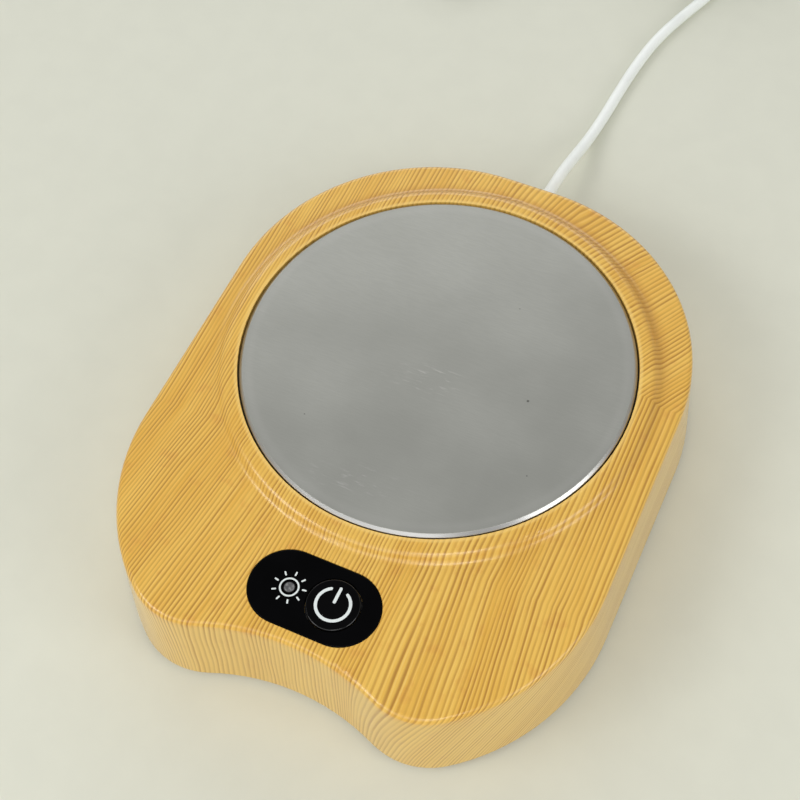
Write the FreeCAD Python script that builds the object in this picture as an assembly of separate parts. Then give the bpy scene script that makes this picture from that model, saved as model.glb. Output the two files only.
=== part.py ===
"""Electric mug warmer: a wood-grain housing around a round heating plate, with a push
button on a gloss black panel and a thin white lead that ends in a flat plug.

Millimetres, +Z up. The origin is at the middle of the housing's footprint, on the
surface that the warmer stands on. The lead leaves at +Y and the button is at -Y.
"""
import os
from math import acos, atan2, cos, hypot, pi, radians, sin, sqrt, tan

import FreeCAD, Part

V = FreeCAD.Vector
UP = V(0, 0, 1)

# housing outline, measured at its top edge, from the collar and the panel outwards
side_margin = 3.7
back_margin = 5.75
front_margin = 7.9
panel_margin = 3.05
back_flat = 12.1
cheek_radius = 48.3
lobe_radius = 15.8
lobe_inset = 28.9
notch_radius = 54.0
wall_flare = 1.6

# housing heights and walls
rim_height = 1.2
body_height = 25.0
wall = 2.2
roof = 2.4
edge_round = 1.3
rim_round = 0.8

# heating plate and the raised collar around it
plate_radius = 45.0
plate_thick = 2.0
plate_chamfer = 0.7
plate_proud = 0.4
plate_gap = 0.45
collar_rise = 2.1
collar_land = 2.3
collar_slope = 3.7
ledge_width = 3.0
seal_thick = 0.8
seal_width = 2.6

# heater stack under the plate
heater_margin = 7.0
heater_thick = 0.5
insulation_margin = 5.0
clamp_thick = 0.8
clamp_margin = 4.0
clamp_window = 14.0
clamp_ears = 3
clamp_ear_width = 9.0
clamp_screw_margin = 2.75
sensor_radius = 1.2
sensor_height = 2.0
fuse_radius = 1.7
fuse_length = 10.0
fuse_from_middle = 24.0
lead_spread = 5.8
lead_from_middle = 31.4
lead_hole_radius = 1.5
wire_drop = 2.0
wire_lean = 0.35

# control panel and button
panel_length = 29.5
panel_width = 17.2
panel_thick = 1.2
panel_proud = 0.1
panel_gap = 0.12
panel_edge = 0.24
tape_thick = 0.2
tape_inset = 0.5
button_radius = 5.8
button_offset = 4.4
button_proud = 0.35
button_gap = 0.25
button_travel = 0.5
button_edge = 0.35
flange_width = 1.0
flange_thick = 1.0
stem_radius = 2.2
stop_gap = 0.05
light_radius = 1.2
light_offset = 5.8
light_gap = 0.08
light_collar = 0.9

# printed marks
print_thick = 0.04
power_ring_radius = 3.55
print_stroke = 0.9
power_line_length = 3.7
power_opening = 62.0
sun_ring_radius = 1.95
sun_stroke = 0.45
sun_rays = 9
sun_ray_inner = 2.75
sun_ray_length = 1.0

# control board and what is on it
board_length = 52.0
board_width = 21.0
board_thick = 1.6
board_corner = 1.6
board_drop = 9.0
board_from_panel = 3.2
board_post_radius = 2.6
board_post_inset = 3.0
switch_size = 6.0
switch_height = 3.4
plunger_radius = 1.7
plunger_length = 1.7
plunger_depth = 0.8
led_size = 2.4
led_height = 1.0
chip_length = 5.0
chip_width = 4.0
chip_height = 1.6
chip_pin = 0.9
chip_pin_width = 0.4
chip_pin_pitch = 1.27
chip_pin_count = 4
chip_pin_height = 0.5
chip_x = -15.0
transistor_length = 6.5
transistor_width = 6.0
transistor_height = 2.3
transistor_bevel = 0.3
tab_length = 5.2
tab_width = 7.5
tab_thick = 0.6
transistor_x = 15.0
capacitor_radius = 2.5
capacitor_height = 6.5
capacitor_round = 0.4
groove_height = 0.8
groove_width = 0.5
groove_depth = 0.25
capacitor_x = 15.5
connector_length = 6.0
connector_width = 4.4
connector_height = 4.6
connector_inset = 0.6
connector_wall = 0.7
socket_floor = 1.0
supply_connector_x = 0.5
sensor_connector_x = -14.0
heater_connector_x = 8.5

# bottom cover, feet and screws
cover_thick = 2.0
cover_inset = 0.4
cover_gap = 0.4
cover_rib = 1.2
cover_rib_height = 2.2
foot_radius = 6.0
foot_sink = 0.8
foot_round = 0.5
foot_gap = 0.2
pad_wall = 1.0
pad_height = 1.6
post_radius = 3.2
back_post_inset = 9.0
back_post_angle = 43.7
front_post_out = 7.8
front_post_back = 2.5
screw_radius = 1.3
screw_length = 10.0
head_radius = 2.5
head_height = 1.5
small_screw_radius = 1.0
small_screw_length = 4.6
clamp_screw_length = 3.4
small_head_radius = 2.0
small_head_height = 1.3
thread_gap = 0.03
head_gap = 0.2
drive_radius = 0.8
drive_depth = 0.7
screw_round_share = 0.4
screw_drive_share = 1.2

# lead
cord_diameter = 3.0
cord_height = 7.5
relief_root = 3.2
relief_tip = 2.1
relief_flange = 3.7
relief_flange_thick = 1.4
relief_neck = 3.0
relief_fit = 0.15
relief_lean = 0.45
relief_ribs = 4
relief_groove = 0.5
relief_land = 0.5
wire_diameter = 1.2
core_spread = 0.66
wire_straight = 13.0
clamp_bar_length = 20.0
clamp_bar_width = 7.0
clamp_bar_thick = 2.0
clamp_from_back = 14.0
clamp_grip = 0.1
cord_inside = 6.0

# free stretch of the lead, from the tip of its strain relief to the coil
cord_route = [
    (0.0, 80.6, 7.5),
    (0.0, 88.3, 7.5),
    (1.5, 96.8, 5.5),
    (1.8, 106.6, 2.5),
    (2.1, 116.6, 1.5),
    (2.7, 127.2, 1.5),
    (3.7, 138.0, 1.5),
    (5.7, 149.4, 1.5),
    (9.4, 160.9, 1.5),
    (14.0, 172.6, 1.5),
    (17.8, 184.4, 2.4),
    (20.0, 194.6, 2.4),
]

# put-away coil
coil_layers = 4
coil_turns = 10.31
coil_mean_radius = 16.4
coil_pitch = 3.46
coil_rise = 3.5

# tail of the lead, from the top of the coil down to the plug
tail_lead = 6.0
tail_route = [
    (-18.5, 222.6, 10.2),
    (-26.0, 218.6, 7.0),
    (-32.0, 212.2, 4.6),
    (-35.8, 204.2, 3.9),
]
plug_run = 7.0

# tie around the coil
tie_thick = 0.6
tie_width = 6.0
tie_clear = 0.5
tie_slack = 0.5
tie_angle = 205.0

# plug
plug_length = 24.0
plug_width = 13.6
plug_height = 7.8
plug_round = 2.2
plug_end_round = 0.7
boot_length = 9.0
boot_tip_radius = 2.1
boot_root_radius = 3.4
plug_shell_length = 18.6
plug_shell_width = 12.0
plug_shell_height = 4.5
plug_shell_wall = 0.35
latch_window = 2.2
tongue_height = 1.9
tongue_short = 1.0
contact_count = 4
contact_width = 1.1
contact_pitch = 2.4
contact_thick = 0.15
contact_length = 9.0
part_gap = 0.1

# heights that follow from the sizes above
reach = 1.0
collar_foot = plate_radius + plate_gap + collar_land + collar_slope
panel_from_plate = collar_foot + panel_margin + panel_width / 2
body_width = 2 * (collar_foot + side_margin)
lobe_spacing = body_width - 2 * lobe_inset
plate_from_back = collar_foot + back_margin
body_length = plate_from_back + panel_from_plate + panel_width / 2 + front_margin
back_corner_radius = (body_width - back_flat) / 2
plate_y = body_length / 2 - plate_from_back
lead_y = plate_y - lead_from_middle
roof_z = body_height - roof
land_z = body_height + collar_rise
plate_top = land_z + plate_proud
plate_low = plate_top - plate_thick
ledge_z = plate_low - seal_thick
opening_radius = plate_radius + plate_gap
ledge_radius = opening_radius - ledge_width
heater_low = plate_low - heater_thick
heater_radius = plate_radius - heater_margin
insulation_radius = plate_radius - insulation_margin
clamp_radius = plate_radius - clamp_margin
clamp_screw_reach = opening_radius + clamp_screw_margin
panel_y = plate_y - panel_from_plate
panel_top = body_height + panel_proud
panel_low = panel_top - panel_thick
recess_z = panel_low - tape_thick
cover_low = rim_height + cover_inset
cover_top = cover_low + cover_thick
pad_top = cover_top + pad_height
board_top = roof_z - board_drop
board_height = board_top - board_thick
board_y = panel_y + board_from_panel
switch_top = board_top + switch_height


def save(name, shape):
    """Writes one piece, and stops if it isn't made of closed solids."""
    if not shape.isValid() or not shape.Solids:
        raise RuntimeError(name + " is not a valid solid")
    for solid in shape.Solids:
        if not solid.isClosed():
            raise RuntimeError(name + " is not closed")
    shape.exportStep("parts/" + name + ".step")


def joined(shapes):
    """Several shapes fused into one solid."""
    result = shapes[0].multiFuse(shapes[1:]) if len(shapes) > 1 else shapes[0]
    return result.removeSplitter()


def disc(radius, low, high, x=0.0, y=0.0):
    return Part.makeCylinder(radius, high - low, V(x, y, low))


def ring(outer, inner, low, high, x=0.0, y=0.0):
    cutter = disc(inner, low - reach, high + reach, x, y)
    return disc(outer, low, high, x, y).cut(cutter)


def block(size_x, size_y, low, high, x=0.0, y=0.0):
    corner = V(x - size_x / 2, y - size_y / 2, low)
    return Part.makeBox(size_x, size_y, high - low, corner)


def pill(length, width, low, high, x=0.0, y=0.0):
    """Flat bar with round ends, long side along X."""
    half = (length - width) / 2
    middle = block(2 * half, width, low, high, x, y)
    ends = [disc(width / 2, low, high, x + side * half, y) for side in (-1, 1)]
    return joined([middle] + ends)


def edges_at(shape, height):
    """Edges that lie level at one height."""
    near = 1e-4
    found = []
    for edge in shape.Edges:
        box = edge.BoundBox
        if abs(box.ZMin - height) < near and abs(box.ZMax - height) < near:
            found.append(edge)
    return found


def arc_edge(centre, radius, start, end, z):
    """Arc about a centre, from one angle to another, in radians."""
    def at(angle):
        return V(centre[0] + radius * cos(angle), centre[1] + radius * sin(angle), z)
    return Part.Arc(at(start), at((start + end) / 2), at(end)).toShape()


def outline(grow, z):
    """Closed outline of the housing at one height, larger all round by grow."""
    half = body_width / 2
    back = body_length / 2
    front = -body_length / 2
    corner = (half - back_corner_radius, back - back_corner_radius)
    lobe = (lobe_spacing / 2, front + lobe_radius)
    cheek_x = half - cheek_radius
    cheek_reach = cheek_radius - lobe_radius
    cheek = (cheek_x, lobe[1] + sqrt(cheek_reach ** 2 - (lobe[0] - cheek_x) ** 2))
    notch_reach = notch_radius + lobe_radius
    notch = (0.0, lobe[1] - sqrt(notch_reach ** 2 - lobe[0] ** 2))
    cheek_end = atan2(lobe[1] - cheek[1], lobe[0] - cheek[0])
    notch_end = atan2(lobe[1] - notch[1], lobe[0] - notch[0])
    corner_r = back_corner_radius + grow
    cheek_r = cheek_radius + grow
    lobe_r = lobe_radius + grow
    notch_r = notch_radius - grow

    def mirror(centre):
        return (-centre[0], centre[1])

    def straight(x_from, y_from, x_to, y_to):
        return Part.LineSegment(V(x_from, y_from, z), V(x_to, y_to, z)).toShape()

    side = half + grow
    edges = [
        straight(-corner[0], back + grow, corner[0], back + grow),
        arc_edge(corner, corner_r, pi / 2, 0, z),
        straight(side, corner[1], side, cheek[1]),
        arc_edge(cheek, cheek_r, 0, cheek_end, z),
        arc_edge(lobe, lobe_r, cheek_end, notch_end - pi, z),
        arc_edge(notch, notch_r, notch_end, pi - notch_end, z),
        arc_edge(mirror(lobe), lobe_r, 2 * pi - notch_end, pi - cheek_end, z),
        arc_edge(mirror(cheek), cheek_r, pi - cheek_end, pi, z),
        straight(-side, cheek[1], -side, corner[1]),
        arc_edge(mirror(corner), corner_r, pi, pi / 2, z),
    ]
    return Part.Wire(edges)


def flare_at(z):
    """How far the wall has spread outwards at a height, from nothing at the top."""
    return wall_flare * (body_height - z) / (body_height - rim_height)


def housing_solid(inset, low, high):
    """Solid inside the housing's outer surface, moved inwards by inset."""
    wires = [outline(flare_at(z) - inset, z) for z in (low, high)]
    return Part.makeLoft(wires, True, True)


def s_curve(r_from, z_from, r_to, z_to):
    """Two level-ended arcs that join two heights, in the XZ plane."""
    mid_r = (r_from + r_to) / 2
    mid_z = (z_from + z_to) / 2
    run = r_to - r_from
    rise = z_to - z_from
    radius = (run ** 2 + rise ** 2) / (4 * abs(rise))
    turn = 2 * atan2(abs(rise), abs(run))
    along = radius * sin(turn / 2) * (1 if run > 0 else -1)
    lift = radius * (1 - cos(turn / 2)) * (1 if rise > 0 else -1)
    first = Part.Arc(V(r_from, 0, z_from), V(r_from + along, 0, z_from + lift),
                     V(mid_r, 0, mid_z)).toShape()
    second = Part.Arc(V(mid_r, 0, mid_z), V(r_to - along, 0, z_to - lift),
                      V(r_to, 0, z_to)).toShape()
    return [first, second]


def turned(edges, x=0.0, y=0.0):
    """Solid of revolution from a closed profile in the XZ plane."""
    face = Part.Face(Part.Wire(Part.__sortEdges__(edges)))
    solid = face.revolve(V(0, 0, 0), UP, 360)
    solid.translate(V(x, y, 0))
    return solid


def lines(points):
    """Open chain of straight edges."""
    return [Part.LineSegment(a, b).toShape() for a, b in zip(points, points[1:])]


def collar():
    """Raised ring around the plate, with a flat land and a curved outer slope."""
    inner = opening_radius
    shoulder = inner + collar_land
    foot = collar_foot
    base = body_height - roof / 2
    slope = s_curve(shoulder, land_z, foot, body_height)
    rest = lines([V(foot, 0, body_height), V(foot, 0, base), V(inner, 0, base),
                  V(inner, 0, land_z), V(shoulder, 0, land_z)])
    return turned(slope + rest, 0, plate_y)


def screw(x, y, head_low, radius, length, head_r, head_h):
    """Pan-head screw pointing up, with a cross recess in its head."""
    head = disc(head_r, head_low, head_low + head_h, x, y)
    rim = edges_at(head, head_low)
    head = head.makeFillet(head_h * screw_round_share, rim)
    shank = disc(radius, head_low + head_h, head_low + head_h + length, x, y)
    tip = edges_at(shank, head_low + head_h + length)
    shank = shank.makeChamfer(radius * screw_round_share, tip)
    slot = head_r * screw_drive_share
    bars = [block(slot, drive_radius / 2, head_low - reach, head_low + drive_depth, x, y),
            block(drive_radius / 2, slot, head_low - reach, head_low + drive_depth, x, y)]
    return joined([head, shank]).cut(joined(bars))


def around(count, radius, first=90.0, y=0.0):
    """Evenly spaced places on a circle about the plate's axis."""
    places = []
    for index in range(count):
        angle = radians(first + 360.0 * index / count)
        places.append((radius * cos(angle), y + radius * sin(angle)))
    return places


back_post_reach = back_corner_radius - back_post_inset
back_post_x = back_flat / 2 + back_post_reach * cos(radians(back_post_angle))
back_post_y = (body_length / 2 - back_corner_radius
               + back_post_reach * sin(radians(back_post_angle)))
front_post_x = lobe_spacing / 2 + front_post_out
front_post_y = lobe_radius + front_post_back - body_length / 2

posts = []
for side in (-1, 1):
    posts.append(("left" if side < 0 else "right", "back", side * back_post_x, back_post_y))
    posts.append(("left" if side < 0 else "right", "front", side * front_post_x, front_post_y))

board_posts = []
for side in (-1, 1):
    for end in (-1, 1):
        board_posts.append((side * (board_length / 2 - board_post_inset),
                            board_y + end * (board_width / 2 - board_post_inset)))

clamp_places = around(clamp_ears, clamp_screw_reach, 90.0, plate_y)
back_wall_y = body_length / 2 + flare_at(cord_height)
clamp_bar_y = back_wall_y - wall - clamp_from_back
clamp_bar_screws = [side * (clamp_bar_length / 2 - head_radius) for side in (-1, 1)]
clamp_bar_low = cord_height + cord_diameter / 2 - clamp_grip


def upper_shell():
    """Moulded housing: outer skin, raised collar, plate ledge, recess and posts."""
    outer = housing_solid(0, rim_height, body_height)
    outer = outer.makeFillet(edge_round, edges_at(outer, body_height))
    outer = outer.makeFillet(rim_round, edges_at(outer, rim_height))
    shell = outer.fuse(collar())
    shell = shell.cut(housing_solid(wall, rim_height - reach, roof_z))
    shell = shell.cut(disc(opening_radius, ledge_z, land_z + reach, 0, plate_y))
    shell = shell.cut(disc(ledge_radius, roof_z - reach, ledge_z + reach, 0, plate_y))
    shell = shell.cut(pill(panel_length + 2 * panel_gap, panel_width + 2 * panel_gap,
                           recess_z, body_height + reach, 0, panel_y))
    for x, y in board_posts:
        shell = shell.fuse(disc(board_post_radius, board_top, roof_z, x, y))
    for side, end, x, y in posts:
        shell = shell.fuse(disc(post_radius, pad_top, roof_z, x, y))
    pilots = [disc(screw_radius + thread_gap, pad_top - reach, pad_top + screw_length, x, y)
              for side, end, x, y in posts]
    pilots += [disc(small_screw_radius + thread_gap, board_top - reach,
                    board_top + small_screw_length, x, y) for x, y in board_posts]
    pilots += [disc(small_screw_radius + thread_gap, roof_z - reach,
                    roof_z + clamp_screw_length, x, y) for x, y in clamp_places]
    pilots.append(disc(button_radius + button_gap, roof_z - reach, recess_z + reach,
                       button_offset, panel_y))
    pilots.append(disc(light_radius + light_gap, roof_z - reach, recess_z + reach,
                       -light_offset, panel_y))
    pilots.append(Part.makeCylinder(relief_neck + relief_fit, 4 * wall,
                                    V(0, back_wall_y - 3 * wall, cord_height), V(0, 1, 0)))
    for pilot in pilots:
        shell = shell.cut(pilot)
    return shell.removeSplitter()


def bottom_cover():
    """Screwed-on base with a rim rib, screw pads and round seats for the feet."""
    inset = wall + cover_gap
    base = housing_solid(inset, cover_low, cover_top)
    lip = housing_solid(inset + cover_gap, cover_top, cover_top + cover_rib_height)
    lip = lip.cut(housing_solid(inset + cover_gap + cover_rib, cover_top - reach,
                                cover_top + cover_rib_height + reach))
    pads = [disc(foot_radius + pad_wall, cover_top, pad_top, x, y) for side, end, x, y in posts]
    stands = []
    for x in clamp_bar_screws:
        stands.append(disc(head_radius, cover_top, clamp_bar_low, x, clamp_bar_y))
    for side, end, x, y in posts:
        lip = lip.cut(disc(post_radius + cover_gap, pad_top - cover_gap,
                           cover_top + cover_rib_height + reach, x, y))
    opening = 2 * (relief_flange + cover_gap)
    lip = lip.cut(block(opening, 4 * wall + opening, cover_top,
                        cover_top + cover_rib_height + reach, 0, back_wall_y))
    cover = joined([base, lip] + pads + stands)
    for side, end, x, y in posts:
        cover = cover.cut(disc(foot_radius + foot_gap, cover_low - reach,
                               cover_low + foot_sink, x, y))
        cover = cover.cut(disc(head_radius + head_gap, cover_low - reach,
                               pad_top - screw_land(), x, y))
        cover = cover.cut(disc(screw_radius + head_gap, cover_low, pad_top + reach, x, y))
    for x in clamp_bar_screws:
        cover = cover.cut(disc(small_screw_radius + thread_gap, cover_top + reach / 2,
                               clamp_bar_low + reach, x, clamp_bar_y))
    return cover


def screw_land():
    """Thickness of the cover that each screw head presses on."""
    return pad_top - cover_low - foot_sink - head_height - head_gap


def foot(x, y):
    """Round rubber foot in its seat, over the screw head."""
    pad = disc(foot_radius, 0, cover_low + foot_sink, x, y)
    return pad.makeFillet(foot_round, edges_at(pad, 0))


def heating_plate():
    plate = disc(plate_radius, plate_low, plate_top, 0, plate_y)
    return plate.makeChamfer(plate_chamfer, edges_at(plate, plate_top))


def ear_angle(place):
    return atan2(place[1] - plate_y, place[0])


def clamp_plate():
    """Pressed steel plate under the insulation, held by three ears to the roof."""
    top = roof_z
    low = top - clamp_thick
    pieces = [ring(clamp_radius, clamp_window, low, top, 0, plate_y)]
    for x, y in clamp_places:
        angle = ear_angle((x, y))
        middle = (clamp_radius + clamp_screw_reach) / 2 - ledge_width
        length = 2 * (clamp_screw_reach - middle)
        ear = Part.makeBox(length, clamp_ear_width, clamp_thick,
                           V(middle - length / 2, -clamp_ear_width / 2, low))
        ear.rotate(V(0, 0, 0), UP, angle * 180 / pi)
        ear.translate(V(0, plate_y, 0))
        pieces += [ear, disc(clamp_ear_width / 2, low, top, x, y)]
    plate = joined(pieces)
    for x, y in clamp_places:
        plate = plate.cut(disc(small_screw_radius + head_gap, low - reach, top + reach, x, y))
    for x in (-lead_spread, lead_spread):
        plate = plate.cut(disc(lead_hole_radius, low - reach, top + reach, x, lead_y))
    return plate


def insulation_disc():
    pad = disc(insulation_radius, roof_z, heater_low, 0, plate_y)
    pad = pad.cut(disc(sensor_radius + head_gap, roof_z - reach, heater_low + reach, 0, plate_y))
    for x in (-lead_spread, lead_spread):
        pad = pad.cut(disc(lead_hole_radius, roof_z - reach, heater_low + reach, x, lead_y))
    return pad


def control_panel():
    panel = pill(panel_length, panel_width, panel_low, panel_top, 0, panel_y)
    panel = panel.makeFillet(panel_edge, edges_at(panel, panel_top))
    panel = panel.cut(disc(button_radius + button_gap, panel_low - reach, panel_top + reach,
                           button_offset, panel_y))
    return panel.cut(disc(light_radius + light_gap, panel_low - reach, panel_top + reach,
                          -light_offset, panel_y))


def panel_tape():
    tape = pill(panel_length - 2 * tape_inset, panel_width - 2 * tape_inset, recess_z, panel_low,
                0, panel_y)
    tape = tape.cut(disc(button_radius + 2 * button_gap, recess_z - reach, panel_low + reach,
                         button_offset, panel_y))
    return tape.cut(disc(light_radius + 2 * light_gap, recess_z - reach, panel_low + reach,
                         -light_offset, panel_y))


def power_button():
    """Button cap with a rounded top edge, a stop flange and a stem to the switch."""
    top = body_height + button_proud
    flange_top = roof_z - stop_gap
    cap = disc(button_radius, flange_top - flange_thick, top, button_offset, panel_y)
    cap = cap.makeFillet(button_edge, edges_at(cap, top))
    flange = disc(button_radius + flange_width, flange_top - flange_thick, flange_top,
                  button_offset, panel_y)
    stem = disc(stem_radius, plunger_top(), flange_top - flange_thick, button_offset, panel_y)
    return joined([cap, flange, stem])


def plunger_top():
    return switch_top - plunger_depth + plunger_length


def switch_housing():
    body = block(switch_size, switch_size, board_top, switch_top, button_offset, panel_y)
    well = plunger_depth + button_travel + part_gap
    return body.cut(disc(plunger_radius + part_gap, switch_top - well, switch_top + reach,
                         button_offset, panel_y))


def light_guide():
    """Clear rod from the lamp on the board to the middle of the sun mark."""
    collar_top = roof_z - stop_gap
    rod = disc(light_radius, board_top + led_height + part_gap, panel_top, -light_offset, panel_y)
    rim = disc(light_radius + light_collar, collar_top - light_collar, collar_top,
               -light_offset, panel_y)
    return joined([rod, rim])


def power_symbol():
    """Printed ring with an opening at the back and a line through the opening."""
    low = body_height + button_proud
    high = low + print_thick
    outer = power_ring_radius + print_stroke / 2
    inner = power_ring_radius - print_stroke / 2
    half = radians(power_opening / 2)
    band = ring(outer, inner, low, high)
    wedge_reach = 2 * outer
    wedge = Part.Face(Part.makePolygon([
        V(0, 0, low - reach),
        V(wedge_reach * sin(half), wedge_reach * cos(half), low - reach),
        V(-wedge_reach * sin(half), wedge_reach * cos(half), low - reach),
        V(0, 0, low - reach)])).extrude(V(0, 0, 3 * reach))
    band = band.cut(wedge)
    line_y = power_ring_radius + print_stroke / 2 - power_line_length / 2
    line = block(print_stroke, power_line_length, low, high, 0, line_y)
    mark = Part.makeCompound([band, line])
    mark.translate(V(button_offset, panel_y, 0))
    return mark


def sun_symbol():
    """Printed ring and rays around the light guide."""
    low = panel_top
    high = low + print_thick
    pieces = [ring(sun_ring_radius + sun_stroke / 2, sun_ring_radius - sun_stroke / 2, low, high)]
    for index in range(sun_rays):
        ray = block(sun_stroke, sun_ray_length, low, high, 0, sun_ray_inner + sun_ray_length / 2)
        ray.rotate(V(0, 0, 0), UP, 360.0 * index / sun_rays)
        pieces.append(ray)
    mark = Part.makeCompound(pieces)
    mark.translate(V(-light_offset, panel_y, 0))
    return mark


def control_board():
    board = block(board_length, board_width, board_height, board_top, 0, board_y)
    upright = [edge for edge in board.Edges if edge.BoundBox.ZLength > board_thick / 2]
    board = board.makeFillet(board_corner, upright)
    for x, y in board_posts:
        board = board.cut(disc(small_screw_radius + head_gap, board_height - reach,
                               board_top + reach, x, y))
    return board


def control_chip():
    """Small control chip with a row of legs on each long side."""
    y = board_y - board_width / 4
    body = block(chip_length, chip_width, board_top + part_gap, board_top + chip_height,
                 chip_x, y)
    legs = []
    for index in range(chip_pin_count):
        x = chip_x + (index - (chip_pin_count - 1) / 2) * chip_pin_pitch
        legs.append(block(chip_pin_width, chip_width + 2 * chip_pin, board_top,
                          board_top + chip_pin_height, x, y))
    return joined([body] + legs)


def power_transistor():
    """Flat transistor that switches the heater, with its metal tab."""
    y = board_y - board_width / 4
    body = block(transistor_length, transistor_width, board_top, board_top + transistor_height,
                 transistor_x, y)
    top_edges = edges_at(body, board_top + transistor_height)
    body = body.makeChamfer(transistor_bevel, top_edges)
    tab = block(tab_length, tab_width, board_top, board_top + tab_thick, transistor_x, y)
    return joined([body, tab])


def smoothing_capacitor():
    """Upright can with a groove near its foot."""
    y = board_y + board_width / 4
    top = board_top + capacitor_height
    can = disc(capacitor_radius, board_top, top, capacitor_x, y)
    can = can.makeFillet(capacitor_round, edges_at(can, top))
    groove_low = board_top + groove_height
    groove = ring(2 * capacitor_radius, capacitor_radius - groove_depth, groove_low,
                  groove_low + groove_width, capacitor_x, y)
    return can.cut(groove)


def connector_y():
    return board_y + board_width / 2 - connector_width / 2 - connector_inset


def board_connector(x):
    """Upright wire socket near the board's back edge."""
    y = connector_y()
    top = board_top + connector_height
    body = block(connector_length, connector_width, board_top, top, x, y)
    mouth = block(connector_length - 2 * connector_wall, connector_width - 2 * connector_wall,
                  board_top + connector_wall, top + reach, x, y)
    return body.cut(mouth)


def wire_pair(x, split, start):
    """Two thin wires from a start point down into a socket on the board."""
    over = board_top + connector_height + wire_drop
    pieces = []
    for side in (-1, 1):
        end_x = x + side * wire_diameter
        route = [(start[0] + side * split, start[1], start[2]),
                 (start[0] + side * split, start[1], over + wire_drop / 2),
                 (end_x, connector_y() + wire_lean * (start[1] - connector_y()), over),
                 (end_x, connector_y(), over - wire_drop / 4),
                 (end_x, connector_y(), board_top + socket_floor)]
        pieces.append(swept(smooth_path(route, "wire", False), wire_diameter, "wire"))
    return Part.makeCompound(pieces)


def supply_wires():
    """The two insulated cores of the lead, from its cut jacket to the board."""
    low = cord_height
    over = board_top + connector_height + 2 * wire_diameter
    start_y = clamp_bar_y - clamp_bar_width / 2 - cord_inside
    middle = (start_y + connector_y()) / 2
    pieces = []
    for side in (-1, 1):
        spread = side * core_spread
        end_x = supply_connector_x + side * wire_diameter
        route = [(spread, start_y, low), (spread, start_y - wire_straight, low),
                 (spread - wire_diameter, middle, low - wire_diameter / 2),
                 (end_x, connector_y() + wire_straight, (low + over) / 2),
                 (end_x, connector_y() + wire_straight / 4, over),
                 (end_x, connector_y(), over - 2 * wire_diameter),
                 (end_x, connector_y(), board_top + socket_floor)]
        pieces.append(swept(smooth_path(route, "wire", False), wire_diameter, "wire"))
    return pieces


def cord_clamp():
    """Bar that pins the lead down between two screw stands."""
    top = clamp_bar_low + clamp_bar_thick
    bar = block(clamp_bar_length, clamp_bar_width, clamp_bar_low, top, 0, clamp_bar_y)
    bar = bar.makeFillet(clamp_bar_thick / 4, edges_at(bar, top))
    groove = Part.makeCylinder(cord_diameter / 2, 2 * clamp_bar_width,
                               V(0, clamp_bar_y - clamp_bar_width, cord_height), V(0, 1, 0))
    bar = bar.cut(groove)
    for x in clamp_bar_screws:
        bar = bar.cut(disc(small_screw_radius + head_gap, clamp_bar_low - reach, top + reach,
                           x, clamp_bar_y))
    return bar


def relief_inner_end():
    return back_wall_y - wall - relief_lean - relief_flange_thick


def strain_relief():
    """Soft sleeve moulded on the lead: inner flange, neck in the wall, ribbed taper."""
    inner_end = relief_inner_end()
    start = back_wall_y + relief_lean
    tip = cord_route[0][1]
    profile = [V(0, 0, inner_end), V(relief_flange, 0, inner_end)]
    profile.append(V(relief_flange, 0, inner_end + relief_flange_thick))
    profile.append(V(relief_neck, 0, inner_end + relief_flange_thick))
    profile.append(V(relief_neck, 0, start))
    profile.append(V(relief_flange, 0, start))
    profile.append(V(relief_flange, 0, start + relief_flange_thick))
    first = start + relief_flange_thick
    pitch = (tip - first) / (relief_ribs + relief_land)

    def radius_at(y):
        share = (y - first) / (tip - first)
        return relief_root + (relief_tip - relief_root) * share

    profile.append(V(radius_at(first), 0, first))
    for index in range(relief_ribs):
        groove = first + pitch * (index + 0.5)
        end = groove + pitch / 2
        for y, depth in ((groove, 0), (groove, relief_groove), (end, relief_groove), (end, 0)):
            profile.append(V(radius_at(y) - depth, 0, y))
    profile += [V(relief_tip, 0, tip), V(0, 0, tip), V(0, 0, inner_end)]
    sleeve = turned(lines(profile))
    sleeve.rotate(V(0, 0, 0), V(1, 0, 0), -90)
    sleeve.translate(V(0, 0, cord_height))
    return sleeve


def smooth_path(points, label, show=True):
    """Straight runs joined by tangent arcs, each as large as its two runs allow."""
    share = 0.45
    points = [V(*point) for point in points]
    edges = []
    radii = []
    start = points[0]
    for before, corner, after in zip(points, points[1:], points[2:]):
        arrive = (corner - before).normalize()
        leave = (after - corner).normalize()
        turn = acos(max(-1.0, min(1.0, arrive.dot(leave))))
        cut = share * min((corner - before).Length, (after - corner).Length)
        radius = cut / tan(turn / 2)
        radii.append(radius)
        arc_start = corner - arrive * cut
        arc_end = corner + leave * cut
        inwards = (leave - arrive).normalize()
        middle = corner + inwards * (radius / cos(turn / 2) - radius)
        edges.append(Part.LineSegment(start, arc_start).toShape())
        edges.append(Part.Arc(arc_start, middle, arc_end).toShape())
        start = arc_end
    edges.append(Part.LineSegment(start, points[-1]).toShape())
    if show:
        print(label, "radii", [round(radius, 1) for radius in radii])
    return Part.Wire(edges)


def swept(path, diameter, label):
    """Round tube along a path, checked against its section times its length."""
    first = path.OrderedEdges[0]
    place = first.valueAt(first.FirstParameter)
    along = first.tangentAt(first.FirstParameter)
    section = Part.Wire(Part.Circle(place, along, diameter / 2).toShape())
    pipe = Part.BRepOffsetAPI.MakePipeShell(path)
    pipe.add(section)
    pipe.build()
    pipe.makeSolid()
    tube = pipe.shape()
    expected = pi * diameter ** 2 / 4 * path.Length
    print(label, "length", round(path.Length, 1), "volume share", round(tube.Volume / expected, 4))
    return tube


def tube(points, diameter, label):
    return swept(smooth_path(points, label), diameter, label)


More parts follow.
